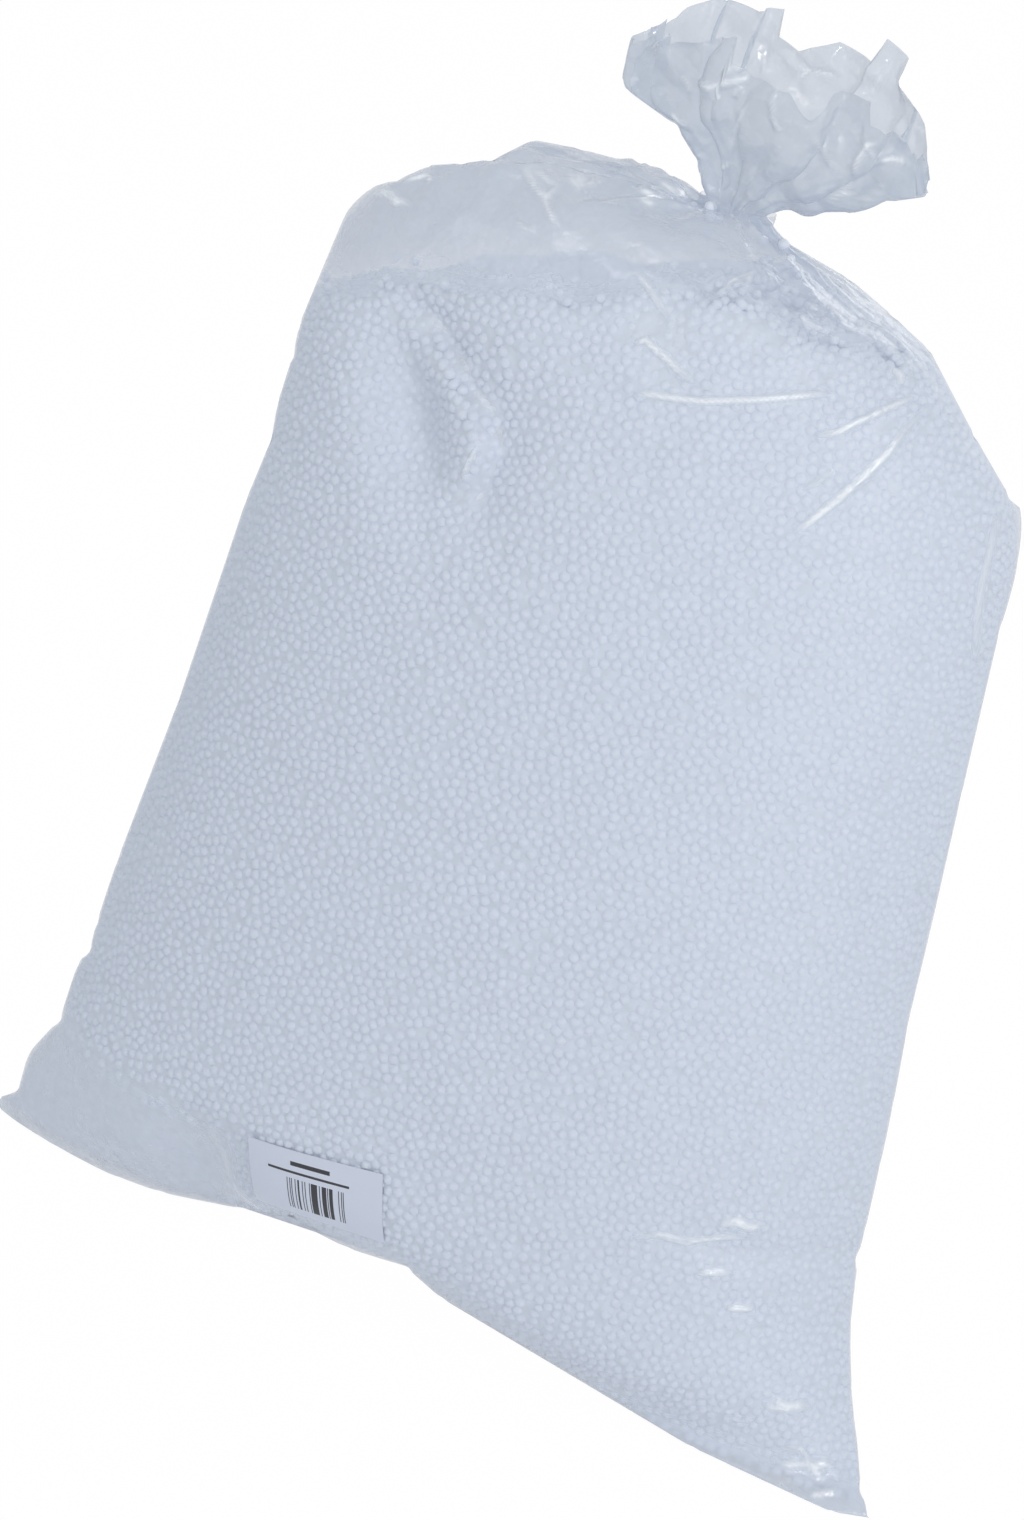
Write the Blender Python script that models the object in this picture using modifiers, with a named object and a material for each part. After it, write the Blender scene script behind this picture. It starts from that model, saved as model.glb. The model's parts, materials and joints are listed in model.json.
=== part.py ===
"""Clear film bag of polystyrene beads, gathered and tied at the top and standing on its flattened bottom.

Front is -Y, up is +Z, and the origin is on the floor under the middle of the bag. The film is one
lofted tube: welded flat along its bottom edge, full of beads up to its shoulders, drawn into pleats at
the neck and open again in a ruffled tail. The beads, the label and the tie take their places from it.
"""

import math

import bmesh
import bpy
import numpy as np
from mathutils import Vector
from mathutils.bvhtree import BVHTree

# Driving dimensions, in metres
BODY_WIDTH = 0.408  # across the full bag, half way up
BODY_DEPTH = 0.230  # front to back, half way up
WELD_WIDTH = 0.520  # the bottom weld from ear to ear, which is the flat tube's width
BODY_OFFSET = -0.018  # the full bag leans this far left of the weld's middle
SHOULDER_HEIGHT = 0.510  # where the sides turn in towards the neck
NECK_HEIGHT = 0.589  # the middle of the tie
NECK_WIDTH = 0.037
NECK_DEPTH = 0.030
NECK_OFFSET = 0.006  # right of the body's middle
TAIL_HEIGHT = 0.088  # the loose film above the tie
TAIL_WIDTH = 0.164
TAIL_DEPTH = 0.064
TAIL_LEAN = 0.006  # right of the neck
FILM = 0.00015  # wall of the polythene film
CLEARANCE = 0.0003  # between pieces that touch
FILL_GAP = 0.0005  # between the beads and the film
FILL_HEIGHT = 0.556  # top of the beads below the neck
FILL_SLOPE = 0.34  # the beads fall away to the left of the neck
LUMP_DEPTH = 0.0022  # of the hollows between the lumps of beads
LABEL_WIDTH = 0.078
LABEL_HEIGHT = 0.041
LABEL_PAPER = 0.00015
LABEL_GLUE = 0.0006  # the label stands this far off the film
LABEL_CENTRE = (-0.049, 0.073)  # x and z
LABEL_TILT = 11.0  # degrees, rising to the right
TIE_WIDTH = 0.006
TIE_WALL = 0.0008
EAR_REACH = 0.045  # the weld and its ears lie this far forward
EAR_LIFT = 0.003
WELD_LIFT = 0.026  # the weld's middle is held this far off the floor
LIFT_OFFSET = 0.033  # left of the weld's middle
LIFT_REACH = 0.090
LIFT_BACK = 0.030  # no lift further back than this
LIFT_FADE = 0.070

PLEATS = 14
PLEAT_DEPTH = 0.50  # of the way to the neck's middle
SQUARENESS = 2.1  # 2 is an ellipse
COLUMNS = 4 * PLEATS
ROWS = (3, 3, 2, 2, 2, 2, 2, 3, 3, 3, 1, 2, 3, 3)  # rows of faces from each ring to the next
FILL_RING = 0.6  # the beads start on the first row above this, which has room for them
LUMP_RINGS = (2, 7)  # the beads' surface is lumpy between these
LABEL_CELLS = (16, 8)
MERGE = 0.00001

# Creases pressed into the front: (x, z, half width, half height, lean, depth)
DENTS = (
    (-0.114, 0.460, 0.023, 0.040, -0.55, 0.020),
    (-0.118, 0.046, 0.028, 0.028, 0.0, 0.014),
)
# Waves of the mouth's ragged rim: (height, waves around, turn in radians)
RIM_WAVES = (
    (0.009, 2, 0.6),
    (0.008, 3, 2.1),
    (0.007, 5, 0.4),
)


def rings():
    """The film's rings from the weld up, each as (left, right, front, back) points.

    left and right are (x, y, z) on the bag's side edges, and front and back are (y, z) on its middle.
    """
    half, deep = BODY_WIDTH / 2, BODY_DEPTH / 2
    top = SHOULDER_HEIGHT
    rise = NECK_HEIGHT - SHOULDER_HEIGHT
    neck, slot = NECK_WIDTH / 2, NECK_DEPTH / 2

    def weld():
        ear = WELD_WIDTH / 2
        middle = (-1.45 * EAR_REACH, 0.0)
        return (
            (-ear, -0.65 * EAR_REACH, EAR_LIFT),
            (ear, -1.30 * EAR_REACH, EAR_LIFT),
            middle,
            middle,
        )

    def body(left, right, side_y, side_z, front, front_z, back, back_z):
        return (
            (BODY_OFFSET - left * half, side_y * deep, side_z * top),
            (BODY_OFFSET + right * half, side_y * deep, side_z * top),
            (-front * deep, front_z * top),
            (back * deep, back_z * top),
        )

    def gather(share, left, right, height, drop, front, back):
        """A ring on the way from the shoulders, at share 0, to the neck, at share 1."""
        z = SHOULDER_HEIGHT + height * rise
        width = half + share * (neck - half)
        depth = deep + share * (slot - deep)
        x = BODY_OFFSET + share * NECK_OFFSET
        return (
            (x - left * width, 0.0, z),
            (x + right * width, 0.0, z - drop * rise),
            (-front * depth, z),
            (back * depth, z),
        )

    def collar(z):
        x = BODY_OFFSET + NECK_OFFSET
        return ((x - neck, 0.0, z), (x + neck, 0.0, z), (-slot, z), (slot, z))

    def tail(share, left, right, left_drop, right_drop, depth):
        """A ring above the tie, at share 1 for the mouth."""
        x = BODY_OFFSET + NECK_OFFSET + share * TAIL_LEAN
        z = NECK_HEIGHT + TIE_WIDTH / 2 + share * (TAIL_HEIGHT - TIE_WIDTH / 2)
        return (
            (x - left * TAIL_WIDTH / 2, 0.0, z - left_drop * TAIL_HEIGHT),
            (x + right * TAIL_WIDTH / 2, 0.0, z - right_drop * TAIL_HEIGHT),
            (-depth * TAIL_DEPTH / 2, z),
            (depth * TAIL_DEPTH / 2, z),
        )

    return [
        weld(),
        body(1.160, 1.290, -0.30, 0.034, 0.66, 0.034, 0.02, -0.010),
        body(1.135, 1.190, -0.18, 0.097, 0.88, 0.092, 0.52, -0.030),
        body(1.100, 1.100, -0.05, 0.190, 0.97, 0.190, 0.90, 0.072),
        body(1.045, 1.045, 0.0, 0.380, 1.00, 0.380, 1.00, 0.330),
        body(0.985, 0.985, 0.0, 0.640, 1.00, 0.640, 1.00, 0.610),
        body(0.955, 0.935, 0.0, 0.860, 0.93, 0.860, 0.95, 0.850),
        gather(0.02, 0.935, 0.880, 0.10, 0.28, 0.78, 0.82),
        gather(0.25, 0.930, 0.820, 0.76, 0.34, 0.74, 0.74),
        gather(0.68, 0.920, 0.740, 0.94, 0.20, 0.64, 0.64),
        collar(NECK_HEIGHT - TIE_WIDTH / 2),
        collar(NECK_HEIGHT + TIE_WIDTH / 2),
        tail(0.22, 0.46, 0.52, 0.04, 0.08, 0.60),
        tail(0.60, 0.96, 0.98, 0.26, 0.30, 0.90),
        tail(1.00, 0.98, 1.04, 0.48, 0.54, 1.00),
    ]


SHOULDER_RING, NECK_RINGS, MOUTH_RING = 7, (10, 11), 14


def along(points, at):
    """A smooth curve through points, read at the fractional positions in at."""
    points = np.asarray(points, float)
    last = len(points) - 1
    i = np.clip(np.floor(at).astype(int), 0, last - 1)
    t = (at - i)[:, None]
    p0 = points[np.clip(i - 1, 0, last)]
    p1, p2 = points[i], points[i + 1]
    p3 = points[np.clip(i + 2, 0, last)]
    m1, m2 = (p2 - p0) / 2, (p3 - p1) / 2
    t2, t3 = t * t, t * t * t
    return (2 * t3 - 3 * t2 + 1) * p1 + (t3 - 2 * t2 + t) * m1 + (3 * t2 - 2 * t3) * p2 + (t3 - t2) * m2


def ring_positions():
    """Each row's place in the list of rings, counted in rings."""
    steps = [np.arange(count) / count + ring for ring, count in enumerate(ROWS)]
    return np.concatenate([*steps, [len(ROWS)]])


def column_angles():
    return np.arange(COLUMNS) * 2 * math.pi / COLUMNS


def round_section(angle):
    """Across and outwards on the bag's rounded section, for a half width and half depth of 1."""
    cos, sin = np.cos(angle), np.sin(angle)
    power = 2 / SQUARENESS
    return np.sign(cos) * np.abs(cos) ** power, np.sign(sin) * np.abs(sin) ** power


def pleat_depth(at):
    """How deep the gathers cut in at a ring position, as a share of the distance to the middle."""
    rising = np.clip((at - SHOULDER_RING) / (NECK_RINGS[0] - SHOULDER_RING), 0, 1)
    opening = np.clip((at - NECK_RINGS[1]) / (MOUTH_RING - NECK_RINGS[1]), 0, 1)
    return PLEAT_DEPTH * rising**1.6 * (1 - 0.35 * opening)


def dented(points, front):
    """Presses the creases of the front panel into the points, which are rows of (x, y, z)."""
    for x, z, wide, tall, lean, depth in DENTS:
        across = points[..., 0] - x - lean * (points[..., 2] - z)
        share = np.exp(-((across / wide) ** 2) - ((points[..., 2] - z) / tall) ** 2)
        points[..., 1] += np.where(front, depth * share, 0.0)
    return points


def lifted(points):
    """Holds the weld's middle off the floor, and less of the front above and beside it."""
    from_middle = (points[..., 0] + LIFT_OFFSET) / LIFT_REACH
    forward = np.clip((LIFT_BACK - points[..., 1]) / LIFT_BACK / 2, 0, 1)
    share = np.exp(-(from_middle**2) - np.maximum(points[..., 2], 0) / LIFT_FADE)
    points[..., 2] += WELD_LIFT * share * forward
    return points


def film_rows():
    """The film's outer surface, as rows of points around the bag from the weld to the mouth."""
    left, right, front, back = (np.array(rail, float) for rail in zip(*rings()))
    at = ring_positions()
    left, right = along(left, at)[:, None, :], along(right, at)[:, None, :]
    front, back = along(front, at)[:, None, :], along(back, at)[:, None, :]
    angle = column_angles()
    forward = np.sin(angle) < 0
    across, out = round_section(angle)
    pleat = 1 - pleat_depth(at)[:, None] * (1 - np.cos(PLEATS * angle)) / 2
    across, out = pleat * across, pleat * np.abs(out)
    middle, half = (left + right) / 2, (right - left) / 2
    points = middle + across[..., None] * half
    panel = np.where(forward[None, :, None], front, back) - middle[..., 1:]
    points[..., 1:] += out[..., None] * panel
    points = dented(points, forward[None, :])
    mouth = np.clip((at - NECK_RINGS[1]) / (MOUTH_RING - NECK_RINGS[1]), 0, 1)[:, None]
    ragged = sum(size * np.sin(waves * angle + turn) for size, waves, turn in RIM_WAVES)
    points[..., 2] += mouth**2 * ragged
    points = lifted(points)
    points[..., 2] = np.maximum(points[..., 2], 0.0)
    return points


def outward(rows):
    """The unit normals of a closed grid of rows, pointing out of the bag."""
    around = np.roll(rows, -1, 1) - np.roll(rows, 1, 1)
    up = np.gradient(rows, axis=0)
    normal = np.cross(around, up)
    length = np.linalg.norm(normal, axis=2, keepdims=True)
    return normal / np.maximum(length, 1e-12)


def loft(name, rows, closed_ends=()):
    """A tube of quads over rows of points, with the ends named in closed_ends filled."""
    bm = bmesh.new()
    loops = [[bm.verts.new(p) for p in row] for row in rows]
    count = len(loops[0])
    for lower, upper in zip(loops, loops[1:]):
        for j in range(count):
            k = (j + 1) % count
            bm.faces.new((lower[j], lower[k], upper[k], upper[j]))
    for end in closed_ends:
        zip_shut(bm, loops[end])
    bmesh.ops.remove_doubles(bm, verts=bm.verts, dist=MERGE)
    if closed_ends:
        bmesh.ops.recalc_face_normals(bm, faces=bm.faces)
    return add_object(name, bm)


def zip_shut(bm, loop):
    """Fills an end by bridging the front points of a loop to the back points behind them."""
    count = len(loop)
    for j in range(1, count // 2):
        a, b = loop[j], loop[j + 1]
        c, d = loop[(count - j - 1) % count], loop[(count - j) % count]
        corners = [p for n, p in enumerate((a, b, c, d)) if p not in (a, b, c, d)[:n]]
        if len(corners) > 2:
            bm.faces.new(corners)
    bm.faces.new((loop[0], loop[1], loop[count - 1]))


def add_object(name, bm):
    mesh = bpy.data.meshes.new(name)
    bm.to_mesh(mesh)
    bm.free()
    obj = bpy.data.objects.new(name, mesh)
    COLLECTION.objects.link(obj)
    mesh.shade_smooth()
    return obj


def wall(obj, thickness, offset=-1):
    """Gives an open surface its thickness."""
    solidify = obj.modifiers.new("wall", "SOLIDIFY")
    solidify.thickness = thickness
    solidify.offset = offset
    solidify.use_rim = True
    return obj


def finish(obj, colour, roughness):
    material = bpy.data.materials.new(obj.name)
    material.use_nodes = True
    shader = material.node_tree.nodes["Principled BSDF"]
    shader.inputs["Base Color"].default_value = (*colour, 1)
    shader.inputs["Roughness"].default_value = roughness
    shader.inputs["Metallic"].default_value = 0
    obj.data.materials.append(material)


def film_bag(rows):
    """One tube of film, shut by its bottom weld and open at the tail's mouth."""
    obj = wall(loft("film_bag", rows), FILM)
    finish(obj, (0.74, 0.78, 0.84), 0.15)
    return obj


def lumpy(rows, normals, at):
    """Draws in every other point of the body's rows, so that the points between stand out."""
    body = (at >= LUMP_RINGS[0]) & (at <= LUMP_RINGS[1])
    row, column = np.indices(rows.shape[:2])
    share = body[:, None] & ((row + column) % 2 == 1)
    return rows - normals * LUMP_DEPTH * share[..., None]


def bead_fill(rows):
    """The beads as one body, against the film up to their sloping top."""
    at, normals = ring_positions(), outward(rows)
    start, stop = np.searchsorted(at, (FILL_RING, NECK_RINGS[0]))
    inside = rows - normals * (FILM + FILL_GAP)
    inside = lumpy(inside[start:stop], normals[start:stop], at[start:stop])
    level = FILL_HEIGHT + FILL_SLOPE * np.minimum(inside[..., 0] - BODY_OFFSET - NECK_OFFSET, 0)
    inside[..., 2] = np.minimum(inside[..., 2], level)
    # The last row is drawn in to its middle, which closes the top of the beads
    middle = np.broadcast_to(inside[-1].mean(axis=0), inside[-1:].shape)
    obj = loft("bead_fill", np.concatenate([inside, middle]), closed_ends=(0,))
    finish(obj, (0.66, 0.71, 0.80), 0.9)


def label(film):
    """A paper label stuck on the front, low down: a grid of points laid on the film."""
    depsgraph = bpy.context.evaluated_depsgraph_get()
    surface = BVHTree.FromObject(film, depsgraph)
    columns, rows = LABEL_CELLS
    bm = bmesh.new()
    bmesh.ops.create_grid(bm, x_segments=columns, y_segments=rows, size=0.5)
    tilt = math.radians(LABEL_TILT)
    for vert in bm.verts:
        right, up = vert.co.x * LABEL_WIDTH, vert.co.y * LABEL_HEIGHT
        x = LABEL_CENTRE[0] + right * math.cos(tilt) - up * math.sin(tilt)
        z = LABEL_CENTRE[1] + right * math.sin(tilt) + up * math.cos(tilt)
        place, normal, _, _ = surface.ray_cast(Vector((x, -BODY_DEPTH, z)), Vector((0, 1, 0)))
        vert.co = place + normal * LABEL_GLUE
    paper = wall(add_object("label", bm), LABEL_PAPER, offset=1)
    finish(paper, (0.74, 0.75, 0.83), 0.6)


def neck_tie():
    """A strip of clear tape wound round the gathered neck."""
    across, out = round_section(column_angles())
    x = BODY_OFFSET + NECK_OFFSET + across * (NECK_WIDTH / 2 + CLEARANCE)
    y = out * (NECK_DEPTH / 2 + CLEARANCE)
    reach = TIE_WIDTH / 2 - 3 * CLEARANCE
    heights = (NECK_HEIGHT - reach, NECK_HEIGHT + reach)
    rows = np.array([np.stack([x, y, np.full_like(x, z)], 1) for z in heights])
    obj = wall(loft("neck_tie", rows), TIE_WALL, offset=1)
    finish(obj, (0.80, 0.83, 0.88), 0.2)


def main():
    rows = film_rows()
    film = film_bag(rows)
    bead_fill(rows)
    label(film)
    neck_tie()


for old in list(bpy.data.objects):
    bpy.data.objects.remove(old)
COLLECTION = bpy.data.collections.new("bag_of_polystyrene_beads")
bpy.context.scene.collection.children.link(COLLECTION)
main()
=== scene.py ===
"""Clear film bag of polystyrene beads: the looks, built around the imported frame.

The film repeats the source's loft at a finer pitch, with its folds and its ruffled tail. Separate beads
lie against its inside, over a core that closes the gaps between them. Metres, +Z up, front is -Y.
"""

import functools
import json
import math

import bpy
import numpy as np
from mathutils import Euler, Matrix, Vector, noise
from mathutils.bvhtree import BVHTree
from mathutils.kdtree import KDTree

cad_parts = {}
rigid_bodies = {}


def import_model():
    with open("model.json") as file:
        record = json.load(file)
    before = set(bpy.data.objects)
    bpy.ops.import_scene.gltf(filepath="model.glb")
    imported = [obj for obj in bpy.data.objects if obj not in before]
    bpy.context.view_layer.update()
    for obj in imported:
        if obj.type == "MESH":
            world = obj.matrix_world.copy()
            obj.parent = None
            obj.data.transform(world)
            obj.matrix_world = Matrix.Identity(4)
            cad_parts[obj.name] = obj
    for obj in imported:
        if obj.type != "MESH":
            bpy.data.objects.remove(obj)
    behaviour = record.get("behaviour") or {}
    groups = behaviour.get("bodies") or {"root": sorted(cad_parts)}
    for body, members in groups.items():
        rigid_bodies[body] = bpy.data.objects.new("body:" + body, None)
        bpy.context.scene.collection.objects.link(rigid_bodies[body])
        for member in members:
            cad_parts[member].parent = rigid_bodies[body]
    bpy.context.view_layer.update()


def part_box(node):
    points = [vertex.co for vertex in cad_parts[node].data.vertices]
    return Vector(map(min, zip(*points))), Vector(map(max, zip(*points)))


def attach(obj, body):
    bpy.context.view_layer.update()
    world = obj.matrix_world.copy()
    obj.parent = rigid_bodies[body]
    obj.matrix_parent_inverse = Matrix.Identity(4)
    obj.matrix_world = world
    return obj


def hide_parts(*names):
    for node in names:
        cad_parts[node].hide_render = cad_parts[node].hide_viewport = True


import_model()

bl_info = {
    "name": "Bag of polystyrene beads",
    "version": (1, 0, 0),
    "blender": (4, 5, 0),
    "location": "View3D > Sidebar > Bead Bag",
    "description": "Builds a clear film bag full of polystyrene beads around its packed frame",
    "category": "Object",
}

# The frame's own measures
FILM_LOW, FILM_HIGH = (Vector(corner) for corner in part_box("film_bag"))
TIE_LOW, TIE_HIGH = (Vector(corner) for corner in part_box("neck_tie"))
WELD_WIDTH = FILM_HIGH.x - FILM_LOW.x
NECK_HEIGHT = (TIE_LOW.z + TIE_HIGH.z) / 2

# The loft's driving dimensions, as in the part's source
BODY_WIDTH = 0.408
BODY_DEPTH = 0.230
BODY_OFFSET = -0.018
SHOULDER_HEIGHT = 0.510
NECK_WIDTH = 0.037
NECK_DEPTH = 0.030
NECK_OFFSET = 0.006
TAIL_HEIGHT = 0.088
TAIL_WIDTH = 0.164
TAIL_DEPTH = 0.064
TAIL_LEAN = 0.006
FILM = 0.00015
FILL_GAP = 0.0005
FILL_HEIGHT = 0.556
FILL_SLOPE = 0.34
TIE_WIDTH = 0.006
EAR_REACH = 0.045
EAR_LIFT = 0.003
WELD_LIFT = 0.026
LIFT_OFFSET = 0.033
LIFT_REACH = 0.090
LIFT_BACK = 0.030
LIFT_FADE = 0.070
PLEATS = 14
PLEAT_DEPTH = 0.50
SQUARENESS = 2.1
FILL_START, FILL_END = 0.6667, 9.66  # rings
SHOULDER_RING, NECK_RINGS, MOUTH_RING = 7, (10, 11), 14
TIE_RING = 10.5
DENTS = (
    (-0.114, 0.460, 0.023, 0.040, -0.55, 0.020),
    (-0.118, 0.046, 0.028, 0.028, 0.0, 0.014),
)
RIM_WAVES = (
    (0.009, 2, 0.6),
    (0.008, 3, 2.1),
    (0.007, 5, 0.4),
)

# The film's mesh
BODY_COLUMNS = 480
BODY_ROWS = ((0, 2, 30), (2, 3.5, 70), (3.5, 6, 44), (6, 8.1, 100), (8.1, 10, 86), (10, TIE_RING, 4))
SPLIT_ROWS = (100, 144, 244)  # the rows that the foot, the body, the shoulders and the neck share
FILL_COLUMNS, FILL_ROWS = 200, 72
BEAD_PIECES = 7
TAIL_COLUMNS = 448
TAIL_ROWS = ((TIE_RING, 11, 4), (11, MOUTH_RING, 76))
FRONT_CROWDING, TAIL_CROWDING = 0.45, 0.15  # more columns in front, fewer behind

# The back of the tail's rim in millimetres, as (x, z) from left to right, and how much lower the front is
RIM = (
    (-87, 643), (-86, 650), (-76, 658), (-68, 669), (-56, 677), (-38, 676), (-26, 680), (-25, 667),
    (-14, 664), (5, 674), (19, 671), (27, 683), (43, 676), (45, 664), (50, 661), (60, 653), (67, 641),
    (74, 627),
)
RIM_DROP = 0.018
RIM_WAVE = (0.5, 70)  # the drop's waves: their height as a share of it, and radians in a metre
TIE_GAP = 0.5  # creases stop this many rings short of the tie, and start again as far above it

# Loose film: where along the rings it is slack, low and open, each as where it starts and how far it takes
SLACK, SLACK_END = (6.0, 2.0), (11.0, -1.0)
LOW, LOW_END = (2.0, -1.5), (0.0, 0.3)
OPENING = (0.0, 0.15)  # as a share of the tail
# How far apart its facets and swells lie, and how high they rise in the slack shoulders
BROAD_FACETS, FACETS, SMALL_FACETS, SWELLS = 0.090, 0.034, 0.015, 0.055
SLACK_HEIGHTS = (0.0045, 0.0030, 0.0010, 0.0016)
LOW_HEIGHT = 0.0022  # of the facets low down
TAIL_SMALL_HEIGHT, TAIL_SWELL_HEIGHT = 0.0030, 0.0035

# Folds of the film in millimetres. Each is a line of (x, z) on one panel, its reach to either side, and
# its height.
FRONT, BACK = -1, 1
RIDGES = {
    FRONT: (
        (((-9, 510), (-2, 512), (23, 517), (46, 525), (69, 534), (77, 536)), 1.6, 1.8),
        (((74, 516), (84, 521), (94, 531), (102, 538), (108, 543)), 1.6, 1.8),
        (((81, 472), (87, 480), (95, 493), (102, 506), (107, 517), (113, 541)), 1.9, 2),
        (((78, 491), (85, 500), (89, 506)), 1.5, 0.9),
        (((-18, 530), (-13, 534), (2, 528), (17, 522)), 1.5, 1.8),
        (((100, 545), (98, 549), (93, 552)), 1.5, 1.4),
        (((46, 564), (52, 561), (61, 560)), 1.3, 1.2),
        (((8, 560), (12, 568), (17, 572), (21, 568)), 1.5, 1.4),
        (((-31, 561), (-21, 556), (-5, 544)), 1.6, 1.2),
        (((-72, 463), (-76, 445)), 1.3, 1.4),
        (((-178, 545), (-167, 549), (-159, 546)), 1.6, 2),
        (((-176, 551), (-166, 547), (-150, 550)), 1.5, 1.6),
        (((-166, 555), (-151, 564), (-146, 562)), 1.6, 1.8),
        (((-111, 584), (-86, 575), (-71, 566)), 1.5, 1.6),
        (((-110, 585), (-86, 581), (-86, 575)), 1.5, 1.4),
        (((-95, 563), (-83, 560)), 1.3, 1),
        (((-88, 586), (-76, 583), (-70, 587)), 1.9, 1.4),
        (((-56, 588), (-47, 586), (-40, 584)), 1.6, 1.8),
        (((155, 502), (160, 484), (162, 468), (165, 450), (171, 424)), 1.4, 1.2),
        (((109, 113), (122, 120), (136, 119), (150, 125), (162, 127)), 1.6, 1.6),
        (((146, 132), (154, 135), (164, 132)), 2.2, 2),
        (((143, 104), (160, 108)), 1.6, 1.6),
        (((161, 89), (174, 91)), 1.8, 1.8),
        (((192, 43), (214, 46)), 2, 1.8),
        (((207, 14), (234, 21)), 2, 1.8),
        (((228, 7), (240, 11)), 1.8, 1.6),
        (((152, 139), (158, 134), (167, 136)), 1.6, 1.4),
        (((195, 49), (203, 45), (210, 50)), 1.6, 1.4),
        (((204, 22), (216, 24), (226, 15), (231, 16)), 1.5, 1.5),
        (((178, 30), (192, 34)), 1.4, 1.2),
        (((-112, 76), (-101, 47), (-80, 30)), 4.5, 0.8),
        # In the tail
        (((0, 658), (-1, 648), (1, 641), (6, 637), (9, 638)), 1.2, 1),
        (((-40, 646), (-33, 644), (-27, 648), (-18, 653), (-16, 659)), 1.6, 1.6),
        (((-29, 652), (-25, 656), (-19, 658)), 2, 1.4),
        (((-22, 643), (-18, 650)), 1.4, 1.2),
        (((-51, 626), (-45, 623), (-40, 623)), 1.6, 1.4),
        (((-65, 656), (-69, 650)), 1.2, 1),
        (((-49, 645), (-42, 638)), 1.4, 1),
        (((43, 625), (43, 633), (45, 641), (51, 644)), 1.6, 1.6),
        (((44, 642), (51, 636)), 1.4, 1.2),
        (((51, 634), (56, 637), (65, 639)), 1.6, 1.6),
        (((58, 649), (61, 647)), 1.4, 1.2),
        (((73, 634), (77, 637), (78, 628)), 1.4, 1.4),
        (((33, 608), (38, 615), (41, 623)), 1.3, 1.2),
        (((38, 614), (44, 616)), 1.3, 1.2),
        (((53, 625), (56, 623), (51, 616), (43, 611)), 1.3, 1.1),
        (((-20, 607), (-17, 611)), 1.4, 1.2),
        (((21, 640), (29, 629), (38, 624)), 1.4, 0.9),
        (((-18, 613), (-17, 629), (-12, 645)), 1.4, 0.8),
    ),
    BACK: (
        # In the tail
        (((-12, 661), (-6, 657), (-10, 650)), 1.4, 1.6),
        (((-6, 657), (1, 658), (8, 658)), 1.4, 1.6),
        (((33, 676), (30, 666), (27, 660), (27, 653)), 1.8, 1.6),
        # On the body
        (((-120, 530), (-94, 516), (-66, 508), (-30, 505), (10, 509)), 2.6, 1.1),
        (((50, 540), (78, 514), (98, 484), (111, 446), (118, 400)), 2.8, 1),
        (((-152, 420), (-141, 392), (-134, 358), (-131, 325), (-133, 290)), 4, 0.9),
        (((90, 150), (120, 133), (150, 122)), 3, 1),
    ),
}
HOLLOWS = (
    (FRONT, ((-35, 566), (12, 569)), 9, 3),
    (FRONT, ((143, 118), (201, 118)), 8, 3),
    (BACK, ((-90, 200), (20, 230)), 30, 3),
    (BACK, ((60, 330), (130, 300)), 22, 3),
)
# The dent in the left shoulder falls steeply from this brow, and comes back up slowly to the left
BROW = (
    (-150, 507), (-127, 495), (-109, 488), (-92, 477), (-78, 472), (-72, 462), (-76, 445), (-90, 430),
)
BROW_DEPTH, BROW_EDGE, BROW_REACH = 12.5, 8, 30
# How steeply a crease and the brow rise from their ends, and the share of a crease that is left at them
CREASE_TAPER, BROW_TAPER = 5, 8
CREASE_END = 0.05

# The camera, as the photograph was taken
VIEW_ANGLE = math.radians(17)
VIEW_HEIGHT = math.radians(20)
VIEW_ROLL = math.radians(16)
VIEW_DISTANCE = 1.924
VIEW_TARGET = Vector((-0.044, 0.0, 0.2857))
LENS = 90.24

# The outlines that the pulled film keeps inside, clockwise as the camera sees them: how far each point
# lies right of its target and above it, in millimetres
BODY_OUTLINES = (
    (
        (-249, -167), (-244, -148), (-228, -131), (-219, -103), (-213, -96), (-209, -81), (-199, -50),
        (-168, 30), (-134, 131), (-121, 162), (-118, 180), (-110, 205), (-107, 220), (-82, 280), (-71, 289),
        (-57, 293), (-41, 300), (-24, 301), (-9, 303), (11, 313), (44, 308), (73, 303), (83, 296),
        (96, 285),
    ),
    (
        (130, 266), (171, 242), (193, 223), (211, 206), (234, 162), (252, 131), (261, 125), (261, 110),
        (246, 66), (226, -20), (211, -86), (200, -131), (192, -177), (186, -207), (179, -238), (174, -252),
        (175, -264), (173, -283), (173, -318), (176, -369), (181, -382),
    ),
    (
        (180, -382), (161, -379), (90, -346), (-36, -271), (-54, -255), (-84, -246), (-112, -231),
        (-137, -226), (-178, -218), (-199, -211),
    ),
)
TAIL_OUTLINES = (
    (
        (94, 303), (83, 321), (58, 339), (56, 344), (60, 366), (72, 373),
    ),
    (
        (202, 351), (195, 342), (203, 334), (209, 323), (210, 304), (211, 285), (188, 282), (174, 276),
        (143, 272), (130, 266),
    ),
)
PULL_SOFTNESS = 0.0012  # the pull eases in over about this distance from the outline
PULL_START = 0.4  # how far past the outline it starts, in softnesses
PULL_LIMITS = (-30, 200)  # in softnesses
PULL_FADE = 0.005  # past the ends of each stretch of the outline

# The beads, as shares of their size
BEAD_SPACING = 1.02
BEAD_ROOM = 0.58  # a radius, as a share of the distance to the nearest other bead
BEAD_RADII = (0.54, 0.64)
BEAD_VARIETY = (0.95, 1.03)
CORE_INSET, CORE_CUT = 0.30, 0.40
STUCK_RADIUS = 0.46
BEAD_GAP = 0.0003  # between the beads and the film, in metres

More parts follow.
